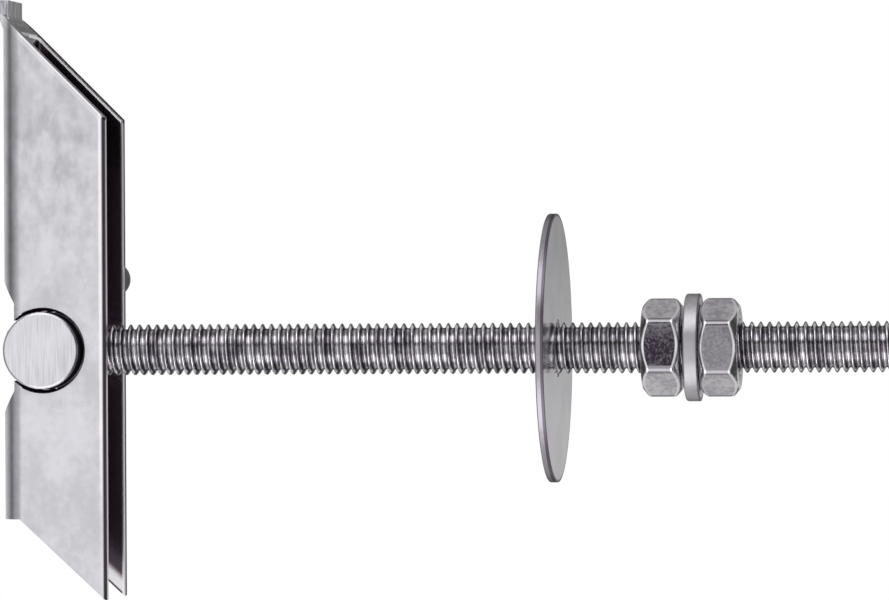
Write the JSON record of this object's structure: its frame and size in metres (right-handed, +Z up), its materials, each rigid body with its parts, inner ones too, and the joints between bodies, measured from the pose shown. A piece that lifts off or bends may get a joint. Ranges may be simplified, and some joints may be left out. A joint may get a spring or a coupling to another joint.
{
  "type": "gravity toggle ceiling anchor",
  "caption": "Gravity toggle for hollow ceilings: a slant-cut folded steel bar tilts on a cross nut at the head of an M6 threaded rod, with a ceiling washer, hexagon nuts and a plain washer.",
  "frame": {"origin": "where the rod's axis crosses the plane of the toggle bar's two bearing edges, which lie on the upper side of the ceiling board", "axes": "+Z up along the hanging rod, +X along the toggle bar towards its long arm, +Y along the pivot towards the rear flange"},
  "size_m": [0.0672, 0.03, 0.1001],
  "materials": {
    "channel_zinc": "bright zinc plating on rolled sheet, faintly clouded, brighter on the cut edges",
    "pin_zinc": "bright zinc plating over a sawn and faced end",
    "rod_zinc": "bright zinc plating on a rolled thread",
    "washer_zinc": "bright zinc plating on stamped sheet",
    "nut_zinc": "bright zinc plating on cold-formed flats",
    "small_washer_zinc": "bright zinc plating on stamped sheet"
  },
  "bodies": {
    "toggle": {"toggle_channel": "channel_zinc"},
    "rod": {"pivot_nut": "pin_zinc", "threaded_rod": "rod_zinc"},
    "upper_nut": {"upper_nut": "nut_zinc"},
    "ceiling_washer": {"ceiling_washer": "washer_zinc"},
    "lower_nut": {"lower_nut": "nut_zinc", "plain_washer": "small_washer_zinc"}
  },
  "joints": [
    {"name": "toggle_pivot", "type": "hinge", "parent": "toggle", "child": "rod", "pos_m": [0, 0, 0.007], "axis": [0, 1, 0], "range_deg": [-86, 86]},
    {"name": "upper_nut_run", "type": "slide", "parent": "rod", "child": "upper_nut", "axis": [0, 0, 1], "range_m": [0, 0.0085]},
    {"name": "ceiling_washer_slide", "type": "slide", "parent": "upper_nut", "child": "ceiling_washer", "axis": [0, 0, 1], "range_m": [-0.0095, 0.0065]},
    {"name": "lower_nut_run", "type": "slide", "parent": "rod", "child": "lower_nut", "axis": [0, 0, 1], "range_m": [-0.016, 0]}
  ]
}
